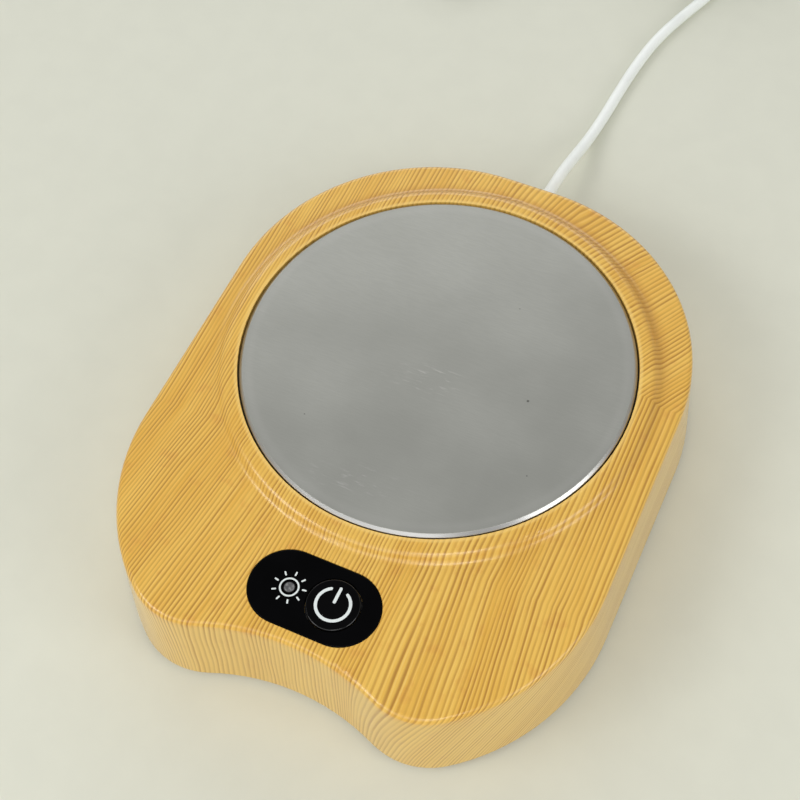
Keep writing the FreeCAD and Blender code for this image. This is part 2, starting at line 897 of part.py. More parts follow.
def coil_state(turn, start_angle, outer, centre):
    """Point of the coil after a number of turns: radius falls and grows, layers climb."""
    per_layer = coil_turns / coil_layers
    layer = min(int(turn / per_layer), coil_layers - 1)
    within = turn - layer * per_layer
    inwards = layer % 2 == 0
    radius = outer - coil_pitch * (within if inwards else per_layer - within)
    half_climb = 0.25
    height = 0.0
    for border in range(1, coil_layers):
        share = (turn - border * per_layer + half_climb) / (2 * half_climb)
        height += coil_rise * (1 - cos(pi * max(0.0, min(1.0, share)))) / 2
    angle = start_angle + 2 * pi * turn
    return V(centre.x + radius * cos(angle), centre.y + radius * sin(angle), centre.z + height)


def biarc(p0, t0, p1, t1):
    """Two tangent arcs from one point and direction to another."""
    chord = p1 - p0
    total = t0 + t1
    a = 2 * (1 - t0.dot(t1))
    b = chord.dot(total)
    c = chord.dot(chord)
    size = c / (2 * b) if abs(a) < 1e-9 else (-b + sqrt(b * b + a * c)) / a
    q0 = p0 + t0 * size
    q1 = p1 - t1 * size
    joint = (q0 + q1) * 0.5
    edges = []
    for start, corner, end in ((p0, q0, joint), (joint, q1, p1)):
        middle = (start + end) * 0.5
        bend = corner - middle
        half = (end - start).Length / 2
        if bend.Length < 1e-6:
            edges.append(Part.LineSegment(start, end).toShape())
            continue
        leg = (corner - start).Length
        rise = bend.Length * half / (half + leg)
        edges.append(Part.Arc(start, middle + bend.normalize() * rise, end).toShape())
    return edges


def coil_path():
    """Coil from the end of the route, with one straight diameter at each end."""
    before, last = V(*cord_route[-2]), V(*cord_route[-1])
    along = (last - before).normalize()
    entry = last + along * cord_diameter
    outer = coil_mean_radius + coil_pitch * coil_turns / coil_layers / 2
    left = V(-along.y, along.x, 0)
    centre = entry + left * outer
    start_angle = atan2(-left.y, -left.x)
    steps_per_turn = 8
    count = int(coil_turns * steps_per_turn)
    step = coil_turns / count
    tiny = 1e-4

    def point(turn):
        return coil_state(turn, start_angle, outer, centre)

    def heading(turn):
        low, high = max(0.0, turn - tiny), min(coil_turns, turn + tiny)
        return (point(high) - point(low)).normalize()

    edges = []
    first_heading = along
    points = [point(index * step) for index in range(count + 1)]
    headings = [heading(index * step) for index in range(count + 1)]
    headings[0] = first_heading
    headings[-1] = V(headings[-1].x, headings[-1].y, 0).normalize()
    edges.append(Part.LineSegment(last, entry).toShape())
    for index in range(count):
        edges += biarc(points[index], headings[index], points[index + 1], headings[index + 1])
    end = points[-1] + headings[-1] * cord_diameter
    edges.append(Part.LineSegment(points[-1], end).toShape())
    return Part.Wire(edges), end, headings[-1], centre, outer


def least_gap(path, diameter):
    """Smallest space between turns of a wound tube, measured on points."""
    step = 1.2
    points = path.discretize(Distance=step)
    skip = int(pi * diameter / step) + 2
    least = None
    for index, point in enumerate(points):
        for other in points[index + skip:]:
            gap = point.distanceToPoint(other) - diameter
            if least is None or gap < least:
                least = gap
    return least


def coil_tie(centre, outer):
    """Flat band around the bundle of turns, laid across it."""
    inner = outer - coil_pitch * coil_turns / coil_layers
    low_r = inner - cord_diameter / 2 - tie_clear - tie_slack
    high_r = outer + cord_diameter / 2 + tie_clear
    low_z = tie_thick
    high_z = centre.z + coil_rise * (coil_layers - 1) + cord_diameter / 2 + tie_clear
    size_r = high_r - low_r + 2 * tie_thick
    size_z = high_z - low_z + 2 * tie_thick
    band = Part.makeBox(size_r, tie_width, size_z, V(low_r - tie_thick, -tie_width / 2, 0))
    corners = [edge for edge in band.Edges if edge.BoundBox.YLength > tie_width / 2]
    band = band.makeFillet(2 * tie_thick, corners)
    space = Part.makeBox(high_r - low_r, 2 * tie_width, high_z - low_z,
                         V(low_r, -tie_width, low_z))
    corners = [edge for edge in space.Edges if edge.BoundBox.YLength > tie_width / 2]
    space = space.makeFillet(tie_thick, corners)
    band = band.cut(space)
    band.rotate(V(0, 0, 0), UP, tie_angle)
    band.translate(V(centre.x, centre.y, 0))
    return band


def placed(shape, place, along):
    """Moves a shape made along +X at the origin to a place and level heading."""
    shape.rotate(V(0, 0, 0), UP, atan2(along.y, along.x) * 180 / pi)
    shape.translate(place)
    return shape


def plug_overmould():
    """Moulded plug grip with a tapered boot on the lead's side."""
    grip = Part.makeBox(plug_length, plug_width, plug_height,
                        V(boot_length, -plug_width / 2, -plug_height / 2))
    long_edges = [edge for edge in grip.Edges if edge.BoundBox.XLength > plug_length / 2]
    grip = grip.makeFillet(plug_round, long_edges)
    ends = [edge for edge in grip.Edges if edge.BoundBox.XLength < 1e-4]
    grip = grip.makeFillet(plug_end_round, ends)
    boot = Part.makeCone(boot_tip_radius, boot_root_radius, boot_length + plug_round,
                         V(0, 0, 0), V(1, 0, 0))
    body = joined([grip, boot])
    socket = Part.makeBox(plug_length / 2, plug_shell_width + 2 * part_gap,
                          plug_shell_height + 2 * part_gap,
                          V(boot_length + plug_length / 2, -plug_shell_width / 2 - part_gap,
                            -plug_shell_height / 2 - part_gap))
    return body.cut(socket)


def plug_shell():
    """Folded metal sleeve, open at its mouth, with two latch windows on top."""
    start = boot_length + plug_length / 2
    length = plug_length / 2 + plug_shell_length
    sleeve = Part.makeBox(length, plug_shell_width, plug_shell_height,
                          V(start, -plug_shell_width / 2, -plug_shell_height / 2))
    hollow = Part.makeBox(length, plug_shell_width - 2 * plug_shell_wall,
                          plug_shell_height - 2 * plug_shell_wall,
                          V(start + plug_shell_wall, plug_shell_wall - plug_shell_width / 2,
                            plug_shell_wall - plug_shell_height / 2))
    sleeve = sleeve.cut(hollow)
    for side in (-1, 1):
        slot = Part.makeBox(latch_window, latch_window, plug_shell_height,
                            V(boot_length + plug_length + plug_shell_length / 3,
                              side * plug_shell_width / 4 - latch_window / 2, 0))
        sleeve = sleeve.cut(slot)
    return sleeve


def plug_tongue():
    start = boot_length + plug_length / 2 + plug_shell_wall
    length = plug_length / 2 + plug_shell_length - plug_shell_wall - tongue_short
    width = plug_shell_width - 2 * plug_shell_wall - 2 * part_gap
    return Part.makeBox(length, width, tongue_height,
                        V(start, -width / 2, plug_shell_wall - plug_shell_height / 2))


def plug_contacts():
    """Spring contacts on the upper face of the tongue."""
    top = plug_shell_wall - plug_shell_height / 2 + tongue_height
    mouth = boot_length + plug_length + plug_shell_length
    pieces = []
    for index in range(contact_count):
        y = (index - (contact_count - 1) / 2) * contact_pitch
        pieces.append(Part.makeBox(contact_length, contact_width, contact_thick,
                                   V(mouth - 2 * tongue_short - contact_length,
                                     y - contact_width / 2, top)))
    return Part.makeCompound(pieces)


os.makedirs("parts", exist_ok=True)

save("upper_shell", upper_shell())
save("bottom_cover", bottom_cover())
for side, end, x, y in posts:
    save("foot_" + end + "_" + side, foot(x, y))
head_low = pad_top - screw_land() - head_height
save("cover_screws", Part.makeCompound([
    screw(x, y, head_low, screw_radius, screw_length, head_radius, head_height)
    for side, end, x, y in posts]))

save("heating_plate", heating_plate())
save("plate_seal", ring(opening_radius - thread_gap, opening_radius - seal_width,
                        ledge_z, plate_low, 0, plate_y))
save("heater_film", disc(heater_radius, heater_low, plate_low, 0, plate_y))
save("insulation_disc", insulation_disc())
save("clamp_plate", clamp_plate())
save("clamp_screws", Part.makeCompound([
    screw(x, y, roof_z - clamp_thick - small_head_height, small_screw_radius,
          clamp_screw_length, small_head_radius, small_head_height)
    for x, y in clamp_places]))
save("thermistor", disc(sensor_radius, heater_low - sensor_height, heater_low, 0, plate_y))
fuse_z = roof_z - clamp_thick - fuse_radius
save("thermal_fuse", Part.makeCylinder(
    fuse_radius, fuse_length, V(-fuse_length / 2, plate_y + fuse_from_middle, fuse_z),
    V(1, 0, 0)))

save("control_panel", control_panel())
save("panel_tape", panel_tape())
save("power_button", power_button())
save("power_symbol", power_symbol())
save("sun_symbol", sun_symbol())
save("light_guide", light_guide())

save("control_board", control_board())
save("board_screws", Part.makeCompound([
    screw(x, y, board_height - small_head_height, small_screw_radius,
          small_screw_length, small_head_radius, small_head_height)
    for x, y in board_posts]))
save("switch_housing", switch_housing())
save("switch_plunger", disc(plunger_radius, switch_top - plunger_depth, plunger_top(),
                            button_offset, panel_y))
save("indicator_led", block(led_size, led_size, board_top, board_top + led_height,
                            -light_offset, panel_y))

save("control_chip", control_chip())
save("power_transistor", power_transistor())
save("smoothing_capacitor", smoothing_capacitor())
for name, x in (("heater_connector", heater_connector_x), ("supply_connector", supply_connector_x),
                ("sensor_connector", sensor_connector_x)):
    save(name, board_connector(x))
heater_start = (0.0, lead_y, heater_low)
save("heater_leads", wire_pair(heater_connector_x, lead_spread, heater_start))
sensor_start = (0.0, plate_y, heater_low - sensor_height)
save("thermistor_lead", wire_pair(sensor_connector_x, 0.0, sensor_start))
red_wire, black_wire = supply_wires()
save("supply_wire_red", red_wire)
save("supply_wire_black", black_wire)

save("cord_clamp", cord_clamp())
clamp_screw_turn = Part.makeCompound([
    screw(x, clamp_bar_y, -clamp_bar_low - clamp_bar_thick - small_head_height,
          small_screw_radius, small_screw_length + clamp_bar_thick / 2, small_head_radius,
          small_head_height) for x in clamp_bar_screws])
clamp_screw_turn.rotate(V(0, clamp_bar_y, 0), V(0, 1, 0), 180)
save("cord_clamp_screws", clamp_screw_turn)
save("strain_relief", strain_relief())
inner_tip = relief_inner_end()
inner_end = clamp_bar_y - clamp_bar_width / 2 - cord_inside
save("inner_cord", Part.makeCylinder(cord_diameter / 2, inner_tip - inner_end,
                                     V(0, inner_end, cord_height), V(0, 1, 0)))
save("supply_cord", tube(cord_route, cord_diameter, "supply cord"))
coil, coil_end, coil_heading, coil_centre, coil_outer = coil_path()
save("cord_coil", swept(coil, cord_diameter, "coil"))
print("coil least gap", round(least_gap(coil, cord_diameter), 2))
print("coil ends at", coil_end, "heading", coil_heading, "centre", coil_centre)
save("coil_tie", coil_tie(coil_centre, coil_outer))
tail_points = [coil_end, coil_end + coil_heading * tail_lead] + tail_route
tail_along = V(tail_points[-1][0] - tail_points[-2][0],
               tail_points[-1][1] - tail_points[-2][1], 0).normalize()
plug_place = V(*tail_points[-1]) + tail_along * plug_run
tail_points.append(plug_place)
save("cord_tail", tube(tail_points, cord_diameter, "tail"))
for name, make in (("plug_overmould", plug_overmould), ("plug_shell", plug_shell),
                   ("plug_tongue", plug_tongue), ("plug_contacts", plug_contacts)):
    save(name, placed(make(), plug_place, tail_along))
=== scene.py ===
from math import atan2, cos, pi, radians, sin

import bpy
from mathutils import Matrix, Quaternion, Vector


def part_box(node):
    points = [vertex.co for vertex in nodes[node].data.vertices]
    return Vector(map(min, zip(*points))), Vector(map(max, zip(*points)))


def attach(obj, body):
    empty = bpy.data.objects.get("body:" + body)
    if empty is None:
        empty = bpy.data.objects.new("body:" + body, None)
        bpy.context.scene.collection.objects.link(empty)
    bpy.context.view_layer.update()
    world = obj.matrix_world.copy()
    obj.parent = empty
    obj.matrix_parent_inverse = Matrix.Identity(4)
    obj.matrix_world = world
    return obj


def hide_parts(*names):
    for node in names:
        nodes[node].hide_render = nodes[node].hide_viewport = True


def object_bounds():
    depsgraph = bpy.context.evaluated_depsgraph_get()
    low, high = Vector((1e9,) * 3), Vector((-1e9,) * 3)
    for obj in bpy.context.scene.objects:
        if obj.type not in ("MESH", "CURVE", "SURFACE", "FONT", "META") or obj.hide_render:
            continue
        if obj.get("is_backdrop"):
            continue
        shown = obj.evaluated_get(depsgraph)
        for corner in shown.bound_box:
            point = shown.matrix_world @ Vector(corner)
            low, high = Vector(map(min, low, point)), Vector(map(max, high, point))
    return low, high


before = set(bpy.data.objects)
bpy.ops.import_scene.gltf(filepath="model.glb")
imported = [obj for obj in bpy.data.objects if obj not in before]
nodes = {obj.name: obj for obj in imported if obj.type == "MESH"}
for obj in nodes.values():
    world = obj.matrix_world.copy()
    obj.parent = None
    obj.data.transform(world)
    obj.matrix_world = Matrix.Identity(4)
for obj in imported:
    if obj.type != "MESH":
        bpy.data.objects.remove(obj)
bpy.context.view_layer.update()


# Camera
# One lens at the photograph's height and turn, in front of the warmer and to its right,
# for a square picture.
camera_place = Vector((0.08092, -0.15747, 0.31028))
camera_aim = Vector((-0.01121, 0.01276, 0.0))
camera_roll = 4.38
camera_data = bpy.data.cameras.new("view")
camera_data.lens = 67.5
camera_data.sensor_width = 36.0
camera_data.clip_start = 0.01
camera = bpy.data.objects.new("view", camera_data)
bpy.context.scene.collection.objects.link(camera)
sight_line = (camera_aim - camera_place).normalized()
turn = sight_line.to_track_quat("-Z", "Y")
camera.rotation_mode = "QUATERNION"
camera.rotation_quaternion = Quaternion(sight_line, radians(camera_roll)) @ turn
camera.location = camera_place
bpy.context.scene.camera = camera


# Lead
# A thin white round lead, extruded in soft plastic over two cores. It lies loose on the
# table, and the length that isn't in use is wound in a neat coil.
# the run from the wall to the coil, and from the coil to the plug
lead_route = [
    (0.0000, 0.0806, 0.0075),
    (0.0005, 0.0883, 0.0074),
    (0.0012, 0.0968, 0.0055),
    (0.0018, 0.1066, 0.0026),
    (0.0024, 0.1166, 0.0015),
    (0.0030, 0.1272, 0.0015),
    (0.0039, 0.1380, 0.0015),
    (0.0057, 0.1494, 0.0015),
    (0.0094, 0.1609, 0.0015),
    (0.0140, 0.1726, 0.0015),
    (0.0178, 0.1844, 0.0024),
    (0.0200, 0.1946, 0.0024),
]
tail_route = [
    (-0.0185, 0.2226, 0.0102),
    (-0.0260, 0.2186, 0.0070),
    (-0.0320, 0.2122, 0.0046),
    (-0.0358, 0.2042, 0.0039),
]
lead_diameter = 0.003
coil_layers = 4
coil_turns = 10.31
coil_mean_radius = 0.0164
coil_pitch = 0.00346
coil_rise = 0.0035
points_per_turn = 24
# the share of a turn, to each side, in which the lead climbs to the next layer
half_climb = 0.25
tail_lead = 0.006
plug_run = 0.007

turns_per_layer = coil_turns / coil_layers
outer_radius = coil_mean_radius + coil_pitch * turns_per_layer / 2
run_end = Vector(lead_route[-1])
along = (run_end - Vector(lead_route[-2])).normalized()
entry = run_end + along * lead_diameter
inwards = Vector((-along.y, along.x, 0))
coil_centre = entry + inwards * outer_radius
first_angle = atan2(-inwards.y, -inwards.x)
# the spline cuts inside its corners, so the turns' points stand out a little
stand_out = 1 / cos(pi / points_per_turn)


def coil_point(done):
    """The lead's middle after that many turns of the coil, out and in by layers."""
    layer = min(int(done / turns_per_layer), coil_layers - 1)
    within = done - layer * turns_per_layer
    drawn_in = within if layer % 2 == 0 else turns_per_layer - within
    radius = (outer_radius - coil_pitch * drawn_in) * stand_out
    height = 0.0
    for border in range(1, coil_layers):
        share = (done - border * turns_per_layer + half_climb) / (2 * half_climb)
        height += coil_rise * (1 - cos(pi * max(0.0, min(1.0, share)))) / 2
    angle = first_angle + 2 * pi * done
    return coil_centre + Vector((radius * cos(angle), radius * sin(angle), height))


coil_steps = int(coil_turns * points_per_turn)
lead_points = [Vector(point) for point in lead_route]
for step in range(coil_steps + 1):
    lead_points.append(coil_point(coil_turns * step / coil_steps))
coil_end = lead_points[-1]
coil_heading = (lead_points[-1] - lead_points[-2]).normalized()
coil_heading.z = 0
lead_points.append(coil_end + coil_heading * (lead_diameter + tail_lead))
lead_points += [Vector(point) for point in tail_route]
plug_heading = lead_points[-1] - lead_points[-2]
plug_heading.z = 0
plug_heading.normalize()
lead_points.append(lead_points[-1] + plug_heading * plug_run)

lead_curve = bpy.data.curves.new("lead", "CURVE")
lead_curve.dimensions = "3D"
lead_curve.resolution_u = 4
lead_curve.bevel_depth = 1.0
lead_curve.bevel_resolution = 5
lead_curve.use_fill_caps = True
spline = lead_curve.splines.new("NURBS")
spline.points.add(len(lead_points) - 1)
for knot, point in zip(spline.points, lead_points):
    knot.co = (point.x, point.y, point.z, 1.0)
    knot.radius = lead_diameter / 2
spline.order_u = 3
spline.use_endpoint_u = True
lead = bpy.data.objects.new("lead", lead_curve)
bpy.context.scene.collection.objects.link(lead)
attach(lead, "housing")
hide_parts("supply_cord", "cord_coil", "cord_tail")


def tint(red, green, blue):
    """A colour from its 0 to 255 values on a paint chart, as light."""
    parts = [value / 255 for value in (red, green, blue)]
    light = [part / 12.92 if part < 0.04045 else ((part + 0.055) / 1.055) ** 2.4 for part in parts]
    return (*light, 1.0)


class Wire:
    """A node's output in a material. Sums and products of wires add Math nodes."""

    def __init__(self, paint, socket):
        self.paint = paint
        self.socket = socket

    def maths(self, operation, other=None, swap=False):
        values = [other, self] if swap else [self, other]
        return self.paint.node("Math", values, operation=operation)

    def __add__(self, other):
        return self.maths("ADD", other)

    __radd__ = __add__

    def __sub__(self, other):
        return self.maths("SUBTRACT", other)

    def __rsub__(self, other):
        return self.maths("SUBTRACT", other, swap=True)

    def __mul__(self, other):
        return self.maths("MULTIPLY", other)

    __rmul__ = __mul__

    def __truediv__(self, other):
        return self.maths("DIVIDE", other)

    def above(self, low, high):
        """Rises smoothly from 0 at low to 1 at high."""
        return self.paint.node("MapRange", [self, low, high, 0.0, 1.0],
                               interpolation_type="SMOOTHSTEP")

    def near(self, middle, width):
        """1 at the middle value, falling smoothly to 0 at that width from it."""
        return 1 - (self - middle).maths("ABSOLUTE").above(0.0, width)

    def at_most(self, other):
        return self.maths("MINIMUM", other)

    def at_least(self, other):
        return self.maths("MAXIMUM", other)


class Paint:
    """A material that is made up of nodes, ending in one shader."""

    def __init__(self, name, **fixed):
        self.material = bpy.data.materials.new(name)
        self.material.use_nodes = True
        self.tree = self.material.node_tree
        self.shader = self.tree.nodes["Principled BSDF"]
        for key, value in fixed.items():
            self.shader.inputs[key.replace("_", " ")].default_value = value

    def node(self, kind, values=(), output=0, **settings):
        made = self.tree.nodes.new("ShaderNode" + kind)
        for key, value in settings.items():
            setattr(made, key, value)
        pairs = values.items() if isinstance(values, dict) else enumerate(values)
        for key, value in pairs:
            if isinstance(value, Wire):
                self.tree.links.new(value.socket, made.inputs[key])
            elif value is not None:
                made.inputs[key].default_value = value
        return Wire(self, made.outputs[output])

    def place(self, *stretch):
        """Object coordinates in millimetres, stretched along each axis if asked."""
        spot = self.node("TexCoord", output="Object")
        scale = [1000.0 * share for share in (stretch or (1.0, 1.0, 1.0))]
        return self.node("VectorMath", [spot, scale], operation="MULTIPLY")

    def axes(self, spot):
        return [self.node("SeparateXYZ", [spot], output=axis) for axis in "XYZ"]

    def noise(self, spot, size, detail=2.0):
        """Smooth noise whose lumps are about this many millimetres across."""
        return self.node("TexNoise", {"Vector": spot, "Scale": 1.0 / size, "Detail": detail})

    def tone(self, share, first, second):
        """One colour mixed into another."""
        return self.node("Mix", {0: share, 6: first, 7: second}, output=2, data_type="RGBA")

    def bump(self, height, depth):
        """Relief of that depth in millimetres."""
        return self.node("Bump", {"Height": height, "Distance": depth / 1000}, output="Normal")

    def feed(self, **wires):
        for key, wire in wires.items():
            self.tree.links.new(wire.socket, self.shader.inputs[key.replace("_", " ")])
        return self

    def put_on(self, *objects):
        for each in objects:
            each.data.materials.clear()
            each.data.materials.append(self.material)
        return self


def moulded(name, colour, roughness, grain=0.25, depth=0.012, mottle=0.10, **fixed):
    """Moulded plastic or rubber: a little cloudy, with a fine grain from the mould."""
    cloud_size = 9.0
    paint = Paint(name, **fixed)
    cloud = paint.noise(paint.place(), cloud_size, 3.0)
    fine = paint.noise(paint.place(), grain, 3.0)
    deep = [part * (1 - mottle) for part in colour[:3]] + [1.0]
    pale = [min(1.0, part * (1 + mottle)) for part in colour[:3]] + [1.0]
    return paint.feed(Base_Color=paint.tone(cloud.above(0.3, 0.7), deep, pale),
                      Roughness=roughness + 0.14 * (fine - 0.5) + 0.10 * (cloud - 0.5),
                      Normal=paint.bump(fine, depth))


lead_paint = moulded("white_lead", tint(246, 250, 246), 0.42, grain=0.5, mottle=0.03,
                     Coat_Weight=0.15)
lead.data.materials.append(lead_paint.material)


# Upper shell
# The moulded plastic housing. A printed film of a wood grain is drawn over it under a
# satin lacquer, so its lines bend and spread where the film was stretched over the form.
wood_pale = tint(241, 196, 90)
wood_warm = tint(227, 173, 62)
wood_red = tint(220, 156, 64)
# painted light: a paler tone for the walls, standing in for the lamps' light on them
wood_side_painted_light = tint(229, 195, 108)
wood_line = tint(166, 112, 30)
# the pale tone beside each grain line, also used as a painted highlight on the collar's lip
wood_crest_and_highlight = tint(250, 212, 122)
# painted shade: the tone laid over the back of the collar's slope
wood_painted_shade = tint(192, 134, 46)
line_pitch = 0.88
top_height = 25.0
# millimetres that the lines spread or lean for each millimetre gone
left_spread = 0.10
right_spread = 0.20
left_slant = 0.14
back_slant = 0.44
lobe_slant = 0.10
wall_slant = 0.018
# where along X and Y that starts, and the stretches of X over which it grows
left_from = -5.0
right_from = 14.0
front_from = -22.0
back_from = 20.0
lobe_from = -34.0
wall_right_from = 10.0
wall_left_from = -22.0
left_growth = (-5.0, 42.0)
back_growth = (-32.0, 50.0)
lobe_growth = (12.0, 42.0)
# how far the lines wander, widely and in small waves
wide_drift = 2.6
small_drift = 0.5
# distances from the plate's edge to the collar's lip, which gets a painted highlight, and to its
# outer slope, which gets painted shade, and the stretch of Y over which that painted shade grows
lip_middle = 0.75
lip_width = 0.8
slope_middle = 5.2
slope_width = 3.4
shade_growth = (-8.0, 34.0)

wood = Paint("wood_grain_film", Coat_Weight=0.9, Coat_Roughness=0.22,
             Specular_IOR_Level=0.35)
spot = wood.place()
x, y, z = wood.axes(spot)
drift = wood.noise(wood.place(1.0, 0.30, 0.5), 26.0, 2.0)
ripple = wood.noise(wood.place(1.0, 0.30, 0.5), 6.0, 2.0)
spread = left_spread * x.at_most(left_from) - right_spread * (x - right_from).at_least(0.0)
left_lean = left_slant * y.at_most(front_from) * (0 - x).above(*left_growth)
back_lean = back_slant * (y - back_from).at_least(0.0) * x.above(*back_growth)
lobe_lean = lobe_slant * (lobe_from - y).at_least(0.0) * x.above(*lobe_growth)
wall_lean = (wall_slant * (x - wall_right_from).at_least(0.0)
             + wall_slant * (x - wall_left_from).at_most(0.0))
across = (x + spread - left_lean - back_lean - lobe_lean
          + wall_lean * (top_height - z).at_least(0.0)
          + wide_drift * (drift - 0.5) + small_drift * (ripple - 0.5))
# the grain runs from front to back over the roof and down the walls, drawn out 20 times
grain_stretch = 0.05
grain_place = wood.node("CombineXYZ", [across, (y - z) * grain_stretch, 0.0])
spacing = wood.noise(grain_place, 12.0, 1.0)
count = across / line_pitch + 3.5 * spacing
ring = count.maths("FRACT")
strength = wood.noise(grain_place, 1.9, 2.0).above(0.30, 0.66)
inked = 0.30 + 0.70 * strength
line = ring.above(0.34, 0.74) * (1 - ring.above(0.84, 0.98)) * inked
crest = ring.near(0.08, 0.20) * inked
fibre = wood.noise(grain_place, 0.42, 3.0)
band = wood.noise(grain_place, 6.5, 2.0)
blotch = wood.noise(spot, 4.5, 3.0)
speck = wood.noise(spot, 0.35, 2.0)
wall = (top_height - z).above(0.5, 3.5)
body_tone = wood.tone(band.above(0.32, 0.68) * 0.6 + fibre.above(0.3, 0.7) * 0.4,
                      wood_warm, wood_pale)
body_tone = wood.tone(blotch.above(0.56, 0.74) * 0.45, body_tone, wood_red)
# painted light: the walls are painted paler to stand in for the light that falls on them
body_tone = wood.tone(wall * 0.55, body_tone, wood_side_painted_light)
body_tone = wood.tone(crest * 0.45, body_tone, wood_crest_and_highlight)
body_tone = wood.tone(line * (0.82 - 0.22 * wall), body_tone, wood_line)
# painted shade over the back of the collar's slope, and a painted highlight on its lip
plate_low, plate_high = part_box("heating_plate")
plate_middle = (plate_low + plate_high) / 2 * 1000
plate_radius = (plate_high.x - plate_low.x) * 500
away = y - plate_middle.y
reach = (x * x + away * away).maths("SQRT") - plate_radius
on_roof = z.above(top_height - 1.0, top_height)
# painted shade on the collar's slope, growing towards the back
slope_painted_shade = reach.near(slope_middle, slope_width) * away.above(*shade_growth) * on_roof
body_tone = wood.tone(slope_painted_shade * 0.55, body_tone, wood_painted_shade)
# painted highlight on the collar's lip, in the crest tone
lip_painted_highlight = reach.near(lip_middle, lip_width) * on_roof
body_tone = wood.tone(lip_painted_highlight * 0.6, body_tone, wood_crest_and_highlight)
wood.feed(Base_Color=body_tone, Roughness=0.40 + 0.12 * (fibre - 0.5) + 0.10 * line,
          Normal=wood.bump(0.7 * (1 - line) + 0.3 * speck, 0.010))
wood.put_on(nodes["upper_shell"])


# Heating plate
# A pressed alloy disc with a satin face, scuffed by mugs, and a polished bevel round it.
# It rests on a dark silicone ring that fills the gap under its edge.
plate_top = plate_high.z * 1000
# depths below the top level between which the bevel's look gives way to the face's
bevel_fade = 0.10
bevel_end = 0.03
# a faint pale ring near the edge
mark_inset = 2.2
mark_width = 1.6
scuff_strength = 0.85
# each spot's middle along X and Y, and its size
scuff_spots = [(-0.5, 4.0, 5.5), (3.0, 7.5, 3.5), (0.7, -23.3, 5.0), (-7.5, -26.0, 4.5)]
plate_specks = [(23.1, 8.6, 0.42), (-21.0, -14.0, 0.22), (12.0, 31.0, 0.20), (30.0, -9.0, 0.22)]

plate = Paint("satin_alloy", Metallic=1.0)
spot = plate.place()
x, y, z = plate.axes(spot)
radius = (x * x + (y - plate_middle.y) * (y - plate_middle.y)).maths("SQRT")
face = z.above(plate_top - bevel_fade, plate_top - bevel_end)
cloud = plate.noise(spot, 22.0, 3.0)
brushed = plate.noise(plate.place(0.10, 1.0, 1.0), 0.30, 3.0)
pitted = plate.noise(spot, 0.25, 2.0)
strokes = plate.noise(plate.place(0.30, 1.4, 1.0), 1.1, 3.0).above(0.55, 0.74)
scuffs = 0.10 * plate.noise(plate.place(0.30, 1.4, 1.0), 2.3, 3.0).above(0.66, 0.80)
for middle_x, middle_y, size in scuff_spots:
    here = x.near(middle_x, 2.2 * size) * y.near(middle_y, size)
    scuffs = scuffs + scuff_strength * here * strokes
specks = 0.0
for middle_x, middle_y, size in plate_specks:
    specks = specks + x.near(middle_x, size) * y.near(middle_y, size)
ring_mark = radius.near(plate_radius - mark_inset, mark_width) * 0.12
face_tone = plate.tone(cloud.above(0.25, 0.75), tint(185, 186, 179), tint(194, 195, 188))
face_tone = plate.tone(brushed.above(0.3, 0.7) * 0.25, face_tone, tint(174, 175, 168))
face_tone = plate.tone(scuffs.at_most(0.7) + ring_mark, face_tone, tint(222, 221, 216))
face_tone = plate.tone(specks.at_most(1.0), face_tone, tint(52, 48, 44))
face_rough = 0.44 + 0.10 * (cloud - 0.5) + 0.12 * (brushed - 0.5) - 0.10 * scuffs
rim_rough = 0.30 + 0.10 * (pitted - 0.5)
plate.feed(Base_Color=plate.tone(face, tint(205, 205, 203), face_tone),
           Roughness=face * face_rough + (1 - face) * rim_rough,
           Normal=plate.bump(0.6 * brushed + 0.4 * pitted, 0.0025))
plate.put_on(nodes["heating_plate"])
moulded("dark_silicone", tint(34, 26, 22), 0.62, grain=0.3, depth=0.02).put_on(nodes["plate_seal"])


# Control panel
# A gloss black plate with round ends, cut from acrylic sheet. Double-sided foam tape holds
# it in its recess.
moulded("gloss_acrylic", tint(3, 3, 4), 0.12, grain=3.0, depth=0.004, mottle=0.3,
        Specular_IOR_Level=0.06).put_on(nodes["control_panel"])
moulded("foam_tape", tint(22, 22, 22), 0.85, grain=0.4, depth=0.05).put_on(nodes["panel_tape"])


# Push button
# A gloss black cap moulded in one with its stop flange and stem. Its plunger is the part
# of the switch that moves with it.
cap = moulded("gloss_cap", tint(4, 4, 5), 0.13, grain=2.0, depth=0.004, mottle=0.3,
              Specular_IOR_Level=0.08, Coat_Roughness=0.08)
# the flat top is plain, and the lacquer shines from just below it, on the edge and sides
cap_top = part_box("power_button")[1].z * 1000
coat_depth = (0.01, 0.07)
x, y, z = cap.axes(cap.place())
cap.feed(Coat_Weight=(cap_top - z).above(*coat_depth))
cap.put_on(nodes["power_button"])
moulded("nylon", tint(40, 40, 42), 0.45).put_on(nodes["switch_plunger"])


